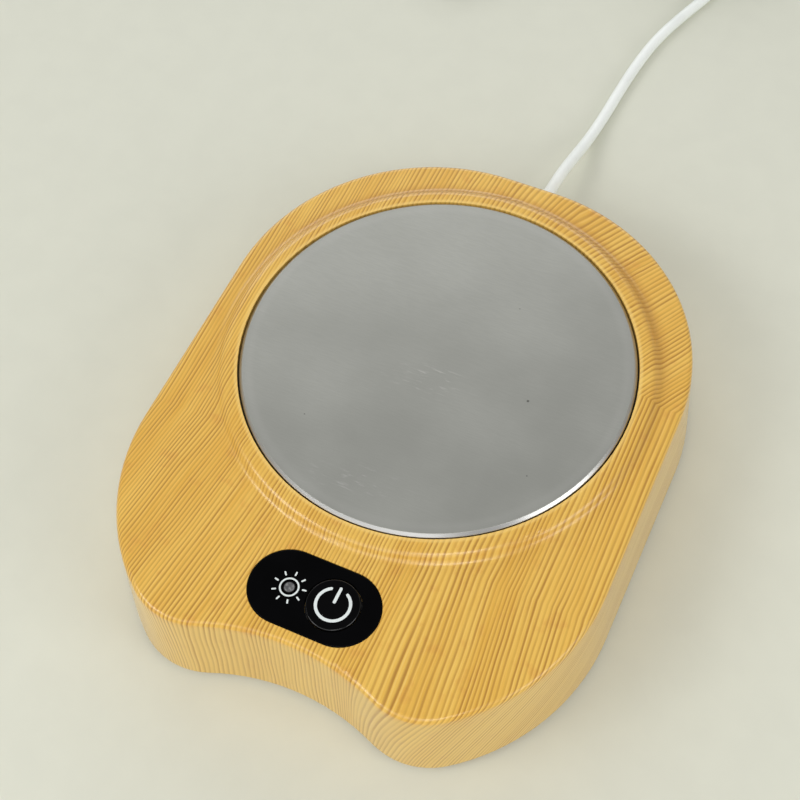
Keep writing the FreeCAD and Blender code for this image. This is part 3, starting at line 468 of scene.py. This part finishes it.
# Printed signs
# White ink, printed on in a thin coat: an open ring with a bar on the button, and a ring
# with nine rays round the lamp's window. Every stroke has round ends.
def stroke(name, length, width, thick, cuts=0):
    """A bar of ink along X with round ends, lying on level zero."""
    bpy.ops.object.select_all(action="DESELECT")
    bpy.ops.mesh.primitive_circle_add(vertices=32, radius=width / 2, fill_type="NGON")
    bar = bpy.context.object
    bar.name = name
    bpy.ops.object.mode_set(mode="EDIT")
    bpy.ops.mesh.select_all(action="DESELECT")
    bpy.ops.object.mode_set(mode="OBJECT")
    half = (length - width) / 2
    for vertex in bar.data.vertices:
        vertex.select = vertex.co.x > 0
    bpy.ops.object.mode_set(mode="EDIT")
    bpy.ops.transform.translate(value=(2 * half, 0, 0))
    bpy.ops.mesh.select_all(action="SELECT")
    bpy.ops.transform.translate(value=(-half, 0, 0))
    for cut in range(cuts):
        bpy.ops.mesh.select_all(action="SELECT")
        bpy.ops.mesh.bisect(plane_co=(half * (2 * (cut + 0.5) / cuts - 1), 0, 0),
                            plane_no=(1, 0, 0))
    bpy.ops.mesh.select_all(action="SELECT")
    bpy.ops.mesh.extrude_region_move(TRANSFORM_OT_translate={"value": (0, 0, thick)})
    bpy.ops.mesh.select_all(action="SELECT")
    bpy.ops.mesh.normals_make_consistent(inside=False)
    bpy.ops.object.mode_set(mode="OBJECT")
    return bar


def modify(piece, kind, **settings):
    """Adds a modifier and applies it at once."""
    bpy.context.view_layer.objects.active = piece
    modifier = piece.modifiers.new(kind.lower(), kind)
    for key, value in settings.items():
        setattr(modifier, key, value)
    bpy.ops.object.modifier_apply(modifier=modifier.name)


def settle(piece, place, angle=0.0):
    """Turns a piece about Z and moves it, and puts both into its mesh."""
    bpy.ops.object.select_all(action="DESELECT")
    piece.select_set(True)
    bpy.context.view_layer.objects.active = piece
    piece.rotation_euler = (0, 0, angle)
    piece.location = place
    bpy.ops.object.transform_apply(location=True, rotation=True, scale=True)


def united(name, pieces):
    """Several meshes made one piece."""
    bpy.ops.object.select_all(action="DESELECT")
    for each in pieces:
        each.select_set(True)
    bpy.context.view_layer.objects.active = pieces[0]
    bpy.ops.object.join()
    pieces[0].name = name
    return pieces[0]


ink = moulded("white_ink", tint(226, 233, 231), 0.45, grain=0.5, depth=0.004, mottle=0.05)

sign_low, sign_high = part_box("power_symbol")
ink_thick = sign_high.z - sign_low.z
ring_stroke = 0.00067
ring_radius = 0.00366
ring_opening = radians(62.0)
bar_length = 0.0039
bar_over = 0.0002
sign_centre = Vector(((sign_low.x + sign_high.x) / 2, sign_low.y + ring_radius + ring_stroke / 2,
                      sign_low.z))
open_turn = 2 * pi - ring_opening + ring_stroke / ring_radius
ring_length = ring_radius * open_turn
open_ring = stroke("open_ring", ring_length, ring_stroke, ink_thick, cuts=60)
modify(open_ring, "SIMPLE_DEFORM", deform_method="BEND", deform_axis="Z", angle=open_turn)
# the bend may go up or down from the strip's middle, which becomes the point opposite the gap
ring_levels = [vertex.co.y for vertex in open_ring.data.vertices]
bend_up = max(ring_levels) > -min(ring_levels)
for vertex in open_ring.data.vertices:
    vertex.co.y -= ring_radius if bend_up else -ring_radius
settle(open_ring, sign_centre, 0.0 if bend_up else pi)
bar = stroke("bar", bar_length, ring_stroke, ink_thick)
bar_top = ring_radius + ring_stroke / 2 + bar_over
settle(bar, sign_centre + Vector((0, bar_top - bar_length / 2, 0)), pi / 2)
power_sign = united("power_sign", [open_ring, bar])
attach(power_sign, "button")
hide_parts("power_symbol")
ink.put_on(power_sign)

sun_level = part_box("sun_symbol")[0].z
guide_low, guide_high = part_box("light_guide")
sun_radius = 0.00198
sun_stroke = 0.00037
ray_inner = 0.00295
ray_length = 0.00064
ray_count = 9
sun_centre = Vector(((guide_low.x + guide_high.x) / 2, (guide_low.y + guide_high.y) / 2,
                     sun_level))
bpy.ops.object.select_all(action="DESELECT")
bpy.ops.mesh.primitive_circle_add(vertices=72, radius=sun_radius + sun_stroke / 2,
                                  fill_type="NGON")
sun_ring = bpy.context.object
bpy.ops.object.mode_set(mode="EDIT")
bpy.ops.mesh.inset(thickness=sun_stroke)
bpy.ops.mesh.delete(type="FACE")
bpy.ops.mesh.select_all(action="SELECT")
bpy.ops.mesh.extrude_region_move(TRANSFORM_OT_translate={"value": (0, 0, ink_thick)})
bpy.ops.mesh.select_all(action="SELECT")
bpy.ops.mesh.normals_make_consistent(inside=False)
bpy.ops.object.mode_set(mode="OBJECT")
settle(sun_ring, sun_centre)
ray_middle = ray_inner + ray_length / 2
rays = []
for index in range(ray_count):
    angle = pi / 2 + 2 * pi * index / ray_count
    ray = stroke("ray", ray_length + sun_stroke, sun_stroke, ink_thick)
    settle(ray, sun_centre + Vector((ray_middle * cos(angle), ray_middle * sin(angle), 0)), angle)
    rays.append(ray)
sun_sign = united("sun_sign", [sun_ring] + rays)
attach(sun_sign, "housing")
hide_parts("sun_symbol")
ink.put_on(sun_sign)


# Light window
# A smoke-grey plastic rod, seated in the panel's hole. It carries the lamp's light up from
# the board.
rod_edge = (0.98, 1.18)
window = Paint("smoke_rod", Coat_Weight=0.6, Coat_Roughness=0.1)
facets = window.noise(window.place(), 0.7, 1.0)
x, y, z = window.axes(window.place())
x = x - sun_centre.x * 1000
y = y - sun_centre.y * 1000
out = (x * x + y * y).maths("SQRT")
grey = window.tone(facets.above(0.35, 0.65), tint(84, 84, 86), tint(126, 127, 126))
window.feed(Base_Color=window.tone(out.above(*rod_edge), grey, tint(12, 12, 13)),
            Roughness=0.25 + 0.2 * (facets - 0.5), Normal=window.bump(facets, 0.05))
window.put_on(nodes["light_guide"])


# Bottom cover, feet and screws
# A ribbed base moulded in matt black plastic, held up by four screws. Each screw head is
# hidden under a round rubber foot that is stuck into its seat.
moulded("matt_base", tint(38, 37, 36), 0.62, grain=0.35, depth=0.03,
        mottle=0.08).put_on(nodes["bottom_cover"])


def metal(name, colour, roughness, stretch=(1.0, 1.0, 1.0), grain=0.15, depth=0.002, **fixed):
    """Bare metal with fine marks from rolling or turning, drawn out along one axis."""
    cloud_size = 5.0
    dullness = 0.82
    paint = Paint(name, Metallic=1.0, **fixed)
    marks = paint.noise(paint.place(*stretch), grain, 3.0)
    cloud = paint.noise(paint.place(), cloud_size, 2.0)
    dull = [part * dullness for part in colour[:3]] + [1.0]
    return paint.feed(Base_Color=paint.tone(marks.above(0.3, 0.7), dull, colour),
                      Roughness=roughness + 0.16 * (marks - 0.5) + 0.10 * (cloud - 0.5),
                      Normal=paint.bump(marks, depth))


zinc = metal("zinc_plate", tint(196, 196, 200), 0.30, grain=0.25)
zinc.put_on(*(nodes[name] for name in ("cover_screws", "clamp_screws", "board_screws",
                                       "cord_clamp_screws")))


def lathe(name, start, axis, steps, sides=64):
    """A turned solid: a disc pushed out along an axis and resized at each step."""
    bpy.ops.object.select_all(action="DESELECT")
    turn = axis.to_track_quat("Z", "Y").to_euler()
    bpy.ops.mesh.primitive_circle_add(vertices=sides, radius=steps[0][1], fill_type="NGON",
                                      location=start, rotation=turn)
    piece = bpy.context.object
    piece.name = name
    bpy.ops.object.transform_apply(location=True, rotation=True, scale=True)
    bpy.ops.object.mode_set(mode="EDIT")
    bpy.ops.mesh.select_all(action="SELECT")
    level, radius = steps[0]
    for next_level, next_radius in steps[1:]:
        move = axis * (next_level - level)
        bpy.ops.mesh.extrude_region_move(TRANSFORM_OT_translate={"value": move})
        share = next_radius / radius
        bpy.ops.transform.resize(value=(share, share, share),
                                 center_override=start + axis * next_level)
        level, radius = next_level, next_radius
    bpy.ops.mesh.select_all(action="SELECT")
    bpy.ops.mesh.normals_make_consistent(inside=False)
    bpy.ops.object.mode_set(mode="OBJECT")
    return piece


rubber = moulded("foot_rubber", tint(46, 46, 47), 0.80, grain=0.22, depth=0.03)
foot_names = [name for name in sorted(nodes) if name.startswith("foot_")]
foot_low, foot_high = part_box(foot_names[0])
foot_radius = (foot_high.x - foot_low.x) / 2
foot_tall = foot_high.z - foot_low.z
foot_edge = 0.0005
groove_depth = 0.0003
# each groove's outer and inner edge, and the run of its sides, as shares of the radius
grooves = [(0.72, 0.54), (0.34, 0.14)]
groove_side = 0.02
foot_steps = [(0.0, foot_radius), (foot_tall - foot_edge, foot_radius),
              (foot_tall, foot_radius - foot_edge)]
for outer, inner in grooves:
    foot_steps += [(foot_tall, outer * foot_radius),
                   (foot_tall - groove_depth, (outer - groove_side) * foot_radius),
                   (foot_tall - groove_depth, (inner + groove_side) * foot_radius),
                   (foot_tall, inner * foot_radius)]
first_foot = lathe("pad", Vector((0, 0, 0)), Vector((0, 0, -1)), foot_steps)
modify(first_foot, "BEVEL", width=0.0001, segments=2, limit_method="ANGLE")
for name in foot_names:
    low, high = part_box(name)
    pad = first_foot if name == foot_names[-1] else first_foot.copy()
    if pad != first_foot:
        pad.data = first_foot.data.copy()
        bpy.context.scene.collection.objects.link(pad)
    pad.name = name.replace("foot", "rubber_pad")
    settle(pad, ((low.x + high.x) / 2, (low.y + high.y) / 2, high.z))
    bpy.ops.object.shade_smooth_by_angle(angle=radians(40))
    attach(pad, "housing")
    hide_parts(name)
    rubber.put_on(pad)


# Heater stack
# A foil heater in amber film is glued under the plate. Felt and a pressed clamp plate hold
# it up, and a bead thermistor and a sleeved fuse watch its heat.
film = moulded("amber_film", tint(176, 104, 34), 0.30, grain=0.8, depth=0.02, Coat_Weight=0.5)
film.put_on(nodes["heater_film"])
moulded("pressed_felt", tint(214, 208, 194), 0.95, grain=0.5, depth=0.20,
        mottle=0.16).put_on(nodes["insulation_disc"])
metal("pressed_steel", tint(178, 178, 180), 0.38, stretch=(0.1, 1.0, 1.0)).put_on(
    nodes["clamp_plate"])
moulded("epoxy_bead", tint(30, 30, 34), 0.35).put_on(nodes["thermistor"])
moulded("fuse_sleeve", tint(236, 234, 226), 0.55, grain=0.3).put_on(nodes["thermal_fuse"])
moulded("white_sleeving", tint(234, 233, 228), 0.5, grain=0.3).put_on(
    nodes["heater_leads"], nodes["thermistor_lead"], nodes["inner_cord"])
moulded("red_sleeving", tint(176, 24, 22), 0.42, grain=0.3).put_on(nodes["supply_wire_red"])
moulded("black_sleeving", tint(18, 18, 19), 0.42, grain=0.3).put_on(nodes["supply_wire_black"])


# Control board
# A green board with its tracks under the lacquer, screwed to posts under the panel. It
# carries the push switch, the lamp, the chip, the transistor, the can and three sockets.
board = Paint("green_board", Coat_Weight=0.5, Coat_Roughness=0.12)
spot = board.place()
lanes = board.node("TexBrick", {"Vector": spot, "Color1": tint(18, 92, 52),
                                "Color2": tint(14, 80, 46), "Mortar": tint(52, 132, 84),
                                "Scale": 1.0, "Mortar Size": 0.18, "Brick Width": 4.2,
                                "Row Height": 1.6})
weave = board.noise(spot, 0.35, 2.0)
board.feed(Base_Color=board.tone(weave.above(0.4, 0.8) * 0.25, lanes, tint(10, 62, 38)),
           Roughness=0.34 + 0.1 * (weave - 0.5), Normal=board.bump(weave, 0.01))
board.put_on(nodes["control_board"])
moulded("black_epoxy", tint(24, 24, 26), 0.55).put_on(
    nodes["control_chip"], nodes["power_transistor"])
moulded("can_sleeve", tint(26, 34, 74), 0.30, grain=0.5).put_on(nodes["smoothing_capacitor"])
moulded("white_nylon", tint(232, 230, 220), 0.45).put_on(
    nodes["heater_connector"], nodes["supply_connector"], nodes["sensor_connector"])
metal("switch_can", tint(190, 190, 192), 0.32, stretch=(0.2, 1.0, 1.0)).put_on(
    nodes["switch_housing"])
moulded("lamp_lens", tint(228, 226, 190), 0.22, grain=0.6, Coat_Weight=0.6).put_on(
    nodes["indicator_led"])


# Strain relief and clamp
# A soft white sleeve moulded on the lead. Its flanges grip the back wall, its rings let it
# bend, and inside, a screwed bar pins the lead down.
relief_low, relief_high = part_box("strain_relief")
relief_axis = Vector((0, 1, 0))
relief_start = Vector(((relief_low.x + relief_high.x) / 2, relief_low.y,
                       (relief_low.z + relief_high.z) / 2))
wall_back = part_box("upper_shell")[1].y
flange_radius = (relief_high.x - relief_low.x) / 2
flange_thick = 0.0014
flange_edge = 0.0002
neck_radius = 0.0030
neck_play = 0.00025
neck_end = wall_back + neck_play - relief_low.y
tip_end = relief_high.y - relief_low.y
root_radius = 0.0032
tip_radius = 0.0021
rib_count = 4
rib_depth = 0.0004
plain_end = 0.5
relief_steps = [(0.0, flange_radius - flange_edge), (flange_edge, flange_radius),
                (flange_thick, flange_radius), (flange_thick, neck_radius),
                (neck_end, neck_radius), (neck_end, flange_radius),
                (neck_end + flange_thick, flange_radius), (neck_end + flange_thick, root_radius)]
taper_start = neck_end + flange_thick
taper = tip_end - taper_start
for rib in range(rib_count):
    for share, drop in ((0.40, 0.0), (0.45, rib_depth), (0.80, rib_depth), (0.85, 0.0)):
        done = (rib + share) / (rib_count + plain_end)
        relief_steps.append((taper_start + taper * done,
                             root_radius + (tip_radius - root_radius) * done - drop))
relief_steps.append((tip_end, tip_radius))
relief = lathe("relief_sleeve", relief_start, relief_axis, relief_steps, sides=48)
modify(relief, "BEVEL", width=0.00015, segments=2, limit_method="ANGLE")
bpy.ops.object.shade_smooth_by_angle(angle=radians(50))
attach(relief, "housing")
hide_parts("strain_relief")
lead_paint.put_on(relief)
moulded("clamp_nylon", tint(222, 220, 212), 0.5).put_on(nodes["cord_clamp"])


# Coil tie
# A flat black tape, woven of plastic yarn and closed round the bundle of turns, which it
# holds by its grip alone.
strap = Paint("woven_strap", Sheen_Weight=0.3)
weave = strap.noise(strap.place(3.0, 3.0, 0.6), 0.9, 2.0)
strap.feed(Base_Color=strap.tone(weave, tint(20, 20, 22), tint(58, 58, 62)),
           Roughness=0.75 + 0.2 * (weave - 0.5), Normal=strap.bump(weave, 0.06))
strap.put_on(nodes["coil_tie"])


# Plug
# A flat plug: a white moulded grip, a folded steel sleeve with two windows, and four
# sprung contacts on a plastic tongue.
plug_white = moulded("plug_grip", tint(236, 238, 237), 0.40, grain=0.3, mottle=0.03)
plug_white.put_on(nodes["plug_overmould"])
metal("plug_sleeve", tint(204, 204, 208), 0.22, grain=0.3).put_on(nodes["plug_shell"])
moulded("plug_tongue", tint(228, 228, 224), 0.45).put_on(nodes["plug_tongue"])
metal("gold_flash", tint(214, 170, 82), 0.25).put_on(nodes["plug_contacts"])


# Table, light and air
# A plain pale surface, under wide soft lights in front and behind and smaller ones to the
# left, high in front and at the right.
air_strength = 0.38
bpy.ops.object.select_all(action="DESELECT")
bpy.ops.mesh.primitive_plane_add(size=6.0)
table = bpy.context.object
table.name = "table"
table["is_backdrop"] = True
moulded("table_top", tint(220, 221, 206), 0.75, grain=1.0, depth=0.0, mottle=0.01).put_on(table)

world = bpy.data.worlds.new("air")
bpy.context.scene.world = world
world.use_nodes = True
air = world.node_tree.nodes["Background"]
air.inputs["Color"].default_value = (1.0, 1.0, 1.0, 1.0)
air.inputs["Strength"].default_value = air_strength


def lamp(name, place, width, height, power):
    """A soft rectangular light that faces the warmer."""
    data = bpy.data.lights.new(name, "AREA")
    data.shape = "RECTANGLE"
    data.size = width
    data.size_y = height
    data.energy = power
    made = bpy.data.objects.new(name, data)
    bpy.context.scene.collection.objects.link(made)
    made.location = place
    made.rotation_euler = (-Vector(place)).to_track_quat("-Z", "Y").to_euler()


lamp("front_light", (-0.15, -0.85, 0.68), 1.4, 0.55, 3.0)
lamp("left_light", (-0.64, -0.53, 0.715), 0.50, 0.37, 2.5)
lamp("high_light", (0.30, -0.526, 0.92), 0.42, 0.35, 1.9)
lamp("back_light", (-0.48, 0.895, 0.54), 1.3, 0.6, 3.8)
lamp("right_light", (0.95, -0.15, 0.50), 0.6, 0.5, 2.6)
bpy.context.scene.view_settings.view_transform = "Standard"


low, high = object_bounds()
